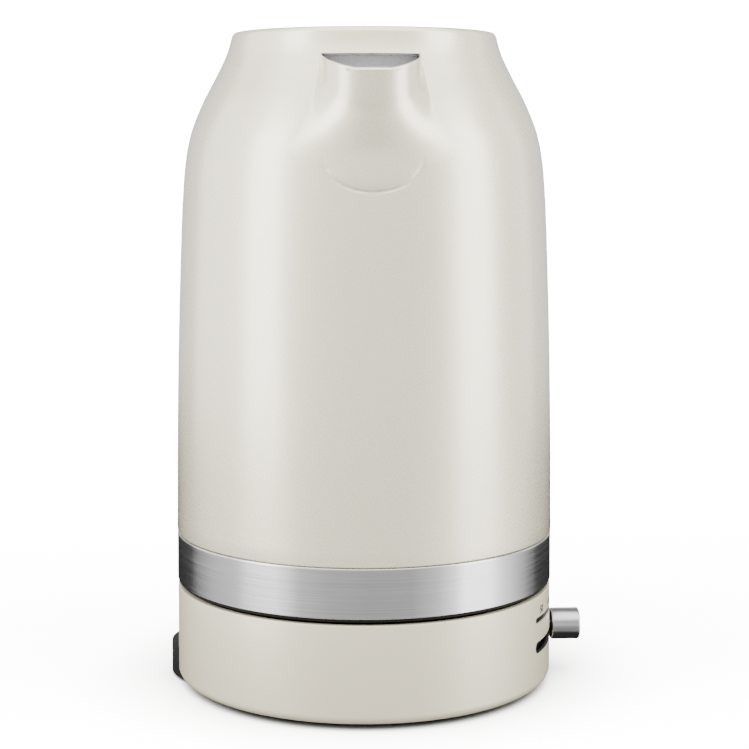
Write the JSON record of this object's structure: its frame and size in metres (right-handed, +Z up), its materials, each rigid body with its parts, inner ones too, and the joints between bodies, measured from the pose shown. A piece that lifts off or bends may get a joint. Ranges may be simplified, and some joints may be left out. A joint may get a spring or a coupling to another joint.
{
  "type": "electric kettle",
  "caption": "Round pearl-cream kettle: lift-off jug with spout, hinged lid and rear handle, on a corded base with a brushed band and a side temperature lever.",
  "frame": {"origin": "on the table under the jug's axis, level with the bottoms of the feet", "axes": "+Z up, spout towards -Y, handle towards +Y, temperature lever towards +X, cord outlet towards -X"},
  "size_m": [0.1659, 0.2137, 0.2588],
  "materials": {
    "cream_shell": "pearl gloss paint",
    "cream_plastic": "pearl gloss",
    "brushed_steel": "brushed round the band",
    "stainless_steel": "satin",
    "satin_chrome": "satin",
    "black_plastic": "fine moulded grain",
    "grey_plastic": "satin",
    "foot_rubber": "matte",
    "seal_silicone": "matte",
    "circuit_board": "satin",
    "contact_brass": "polished",
    "cast_aluminium": "cast",
    "smoked_window": "smooth, dark"
  },
  "bodies": {
    "base": {"base_housing": "cream_plastic", "base_bottom_plate": "black_plastic", "rubber_foot_1": "foot_rubber", "rubber_foot_2": "foot_rubber", "rubber_foot_3": "foot_rubber", "rubber_foot_4": "foot_rubber", "base_screw_1": "stainless_steel", "base_screw_2": "stainless_steel", "base_screw_3": "stainless_steel", "cord_outlet": "black_plastic", "cord_clamp": "grey_plastic", "mains_terminal": "grey_plastic", "base_deck": "black_plastic", "connector_post": "grey_plastic", "connector_pin": "contact_brass", "contact_ring": "contact_brass", "connector_carrier": "black_plastic", "scale_window": "smoked_window", "scale_light_board": "circuit_board", "control_board": "circuit_board", "power_relay": "black_plastic", "transformer": "contact_brass", "potentiometer": "grey_plastic"},
    "temperature_lever": {"lever_carriage": "black_plastic", "start_switch": "black_plastic"},
    "control_knob": {"control_knob": "satin_chrome"},
    "connector_shutter": {"connector_shutter": "grey_plastic"},
    "jug": {"outer_shell": "cream_shell", "inner_vessel": "stainless_steel", "trim_band": "brushed_steel", "jug_bottom_cover": "black_plastic", "jug_connector": "grey_plastic", "thermostat_block": "black_plastic", "heater_plate": "cast_aluminium", "heating_element": "stainless_steel", "temperature_sensor": "stainless_steel", "cover_screw_1": "stainless_steel", "cover_screw_2": "stainless_steel", "cover_screw_3": "stainless_steel", "neck_ring": "grey_plastic", "hinge_bracket": "cream_plastic", "hinge_pin": "stainless_steel", "handle_shell": "cream_plastic", "handle_grip": "black_plastic", "button_spring": "stainless_steel"},
    "lid": {"lid_cover": "cream_plastic", "lid_plug": "stainless_steel", "lid_seal": "seal_silicone", "lid_catch": "stainless_steel"},
    "filter": {"filter_frame": "grey_plastic", "filter_mesh": "stainless_steel"},
    "release_button": {"release_button": "satin_chrome"},
    "latch_bolt": {"latch_bolt": "stainless_steel"}
  },
  "joints": [
    {"name": "lever_swing", "type": "hinge", "parent": "base", "child": "temperature_lever", "pos_m": [0, 0, 0.019], "axis": [0, 0, 1], "range_deg": [-24, 24]},
    {"name": "knob_press", "type": "slide", "parent": "temperature_lever", "child": "control_knob", "axis": [-1, 0, 0], "range_m": [0, 0.0009], "stiffness_N_per_m": 1500, "springref_m": -0.0005},
    {"name": "jug_turn", "type": "hinge", "parent": "base", "child": "connector_shutter", "pos_m": [0, 0, 0.039], "axis": [0, 0, 1], "continuous": true},
    {"name": "jug_lift", "type": "slide", "parent": "connector_shutter", "child": "jug", "axis": [0, 0, 1], "range_m": [0, 0.12]},
    {"name": "lid_hinge", "type": "hinge", "parent": "jug", "child": "lid", "pos_m": [0, 0.042, 0.2563], "axis": [-1, 0, 0], "range_deg": [0, 75]},
    {"name": "filter_pull", "type": "slide", "parent": "jug", "child": "filter", "axis": [0, 1, 0], "range_m": [0, 0.03]},
    {"name": "button_press", "type": "slide", "parent": "jug", "child": "release_button", "axis": [0, 0, -1], "range_m": [0, 0.0035], "stiffness_N_per_m": 600, "springref_m": -0.003, "deforming": ["button_spring"]},
    {"name": "latch_slide", "type": "slide", "parent": "jug", "child": "latch_bolt", "axis": [0, 1, 0], "range_m": [0, 0.0035]}
  ],
  "couplings": [
    {"joint": "latch_slide", "follows": "button_press", "ratio": 1}
  ]
}
